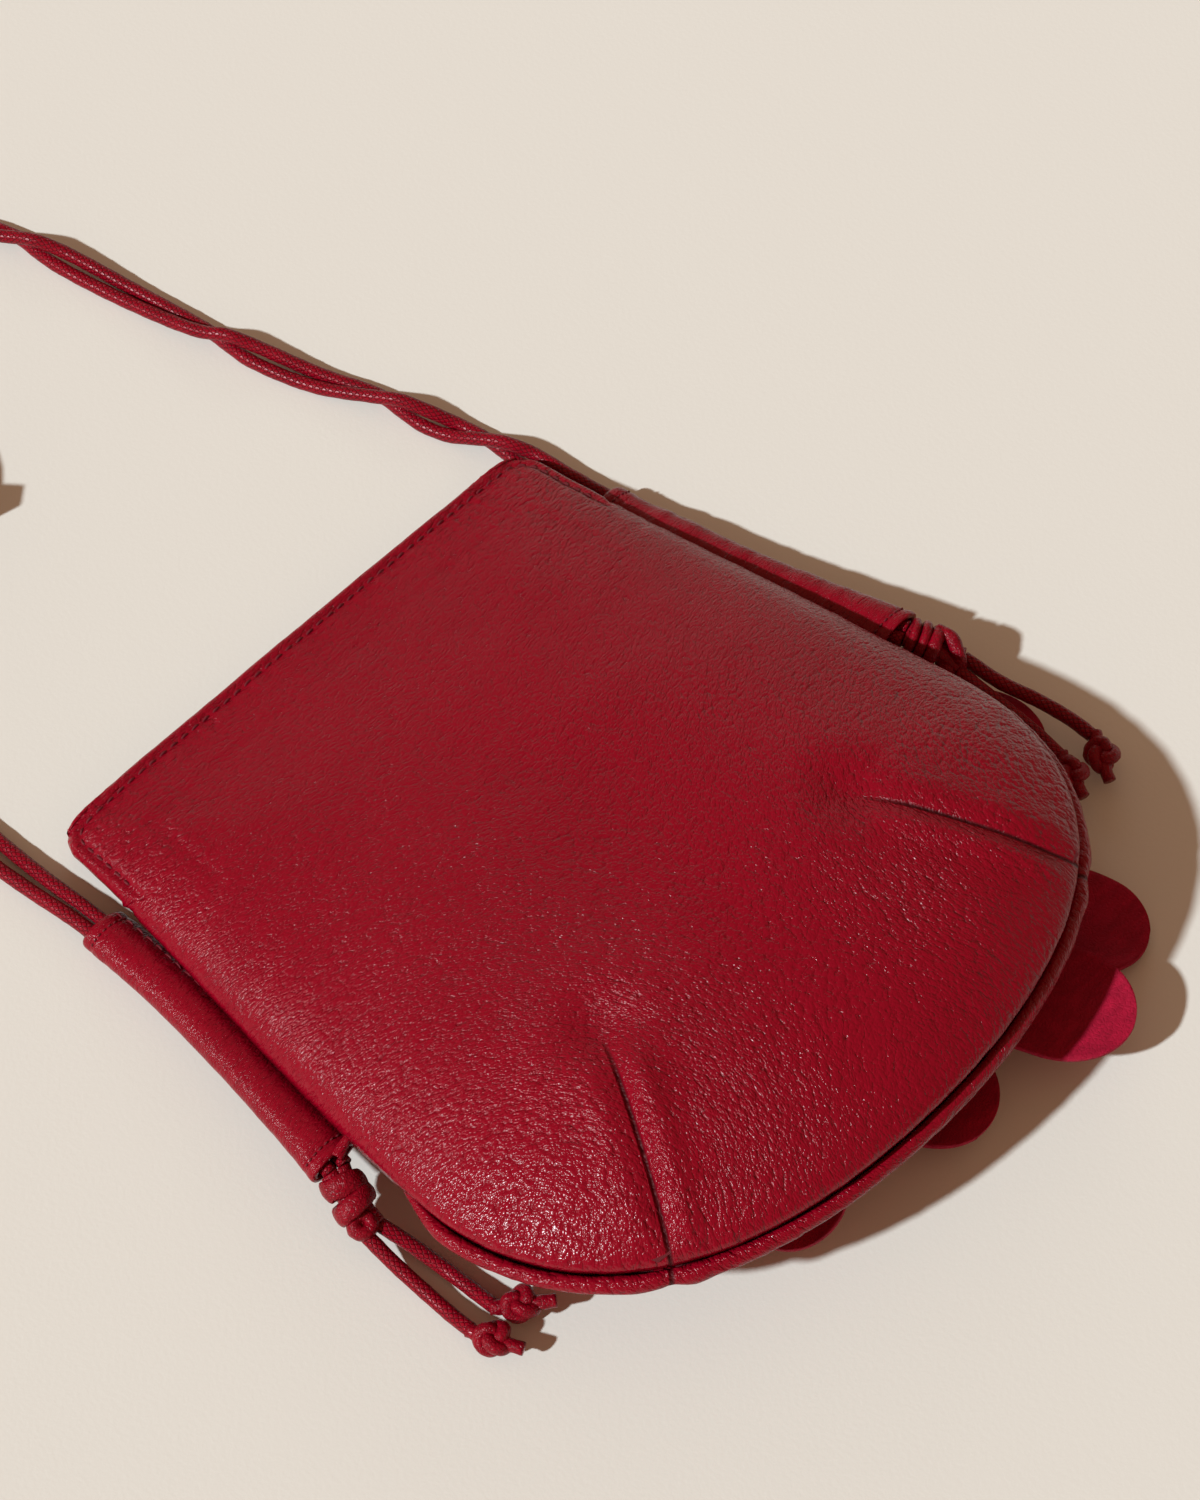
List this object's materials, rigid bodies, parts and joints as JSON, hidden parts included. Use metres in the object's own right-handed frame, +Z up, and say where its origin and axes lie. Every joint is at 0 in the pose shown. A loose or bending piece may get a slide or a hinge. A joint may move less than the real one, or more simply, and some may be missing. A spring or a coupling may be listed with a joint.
{
  "type": "crossbody bag",
  "caption": "Small leather crossbody bag lying on its front, with darted lower corners, cord strap through side sleeves, knotted cord ends and a petalled leather flower beneath.",
  "frame": {"origin": "centre of the flat face of the flower's button, on the surface that the bag lies on", "axes": "+Y along the bag from its bottom towards its mouth, +Z up and out of the back panel, +X to the right"},
  "size_m": [0.2117, 0.3812, 0.0439],
  "materials": {
    "bag_leather": "satin",
    "petal_leather": "matte",
    "lining_cloth": "matte",
    "strap_cord": "satin",
    "tie_leather": "matte",
    "snap_metal": "satin"
  },
  "bodies": {
    "root": {"back_panel": "bag_leather", "front_panel": "bag_leather", "back_facing": "bag_leather", "front_facing": "bag_leather", "lining_back": "lining_cloth", "lining_front": "lining_cloth", "snap_socket": "snap_metal", "snap_stud": "snap_metal", "right_sleeve": "bag_leather", "left_sleeve": "bag_leather", "right_strap_cord_1": "strap_cord", "right_strap_cord_2": "strap_cord", "left_strap_cord_1": "strap_cord", "left_strap_cord_2": "strap_cord", "strap_coil": "strap_cord", "coil_tie": "tie_leather", "left_knot": "strap_cord", "right_knot": "strap_cord", "left_tail_1": "strap_cord", "left_tail_2": "strap_cord", "right_tail_1": "strap_cord", "right_tail_2": "strap_cord", "left_end_knot_1": "strap_cord", "left_end_knot_2": "strap_cord", "right_end_knot_1": "strap_cord", "right_end_knot_2": "strap_cord", "flower_base": "petal_leather", "outer_petal_1": "petal_leather", "outer_petal_2": "petal_leather", "outer_petal_3": "petal_leather", "outer_petal_4": "petal_leather", "outer_petal_5": "petal_leather", "outer_petal_6": "petal_leather", "middle_petal_1": "petal_leather", "middle_petal_2": "petal_leather", "middle_petal_3": "petal_leather", "middle_petal_4": "petal_leather", "middle_petal_5": "petal_leather", "middle_petal_6": "petal_leather", "inner_petal_1": "petal_leather", "inner_petal_2": "petal_leather", "inner_petal_3": "petal_leather", "inner_petal_4": "petal_leather", "inner_petal_5": "petal_leather", "flower_button": "petal_leather"}
  },
  "joints": []
}
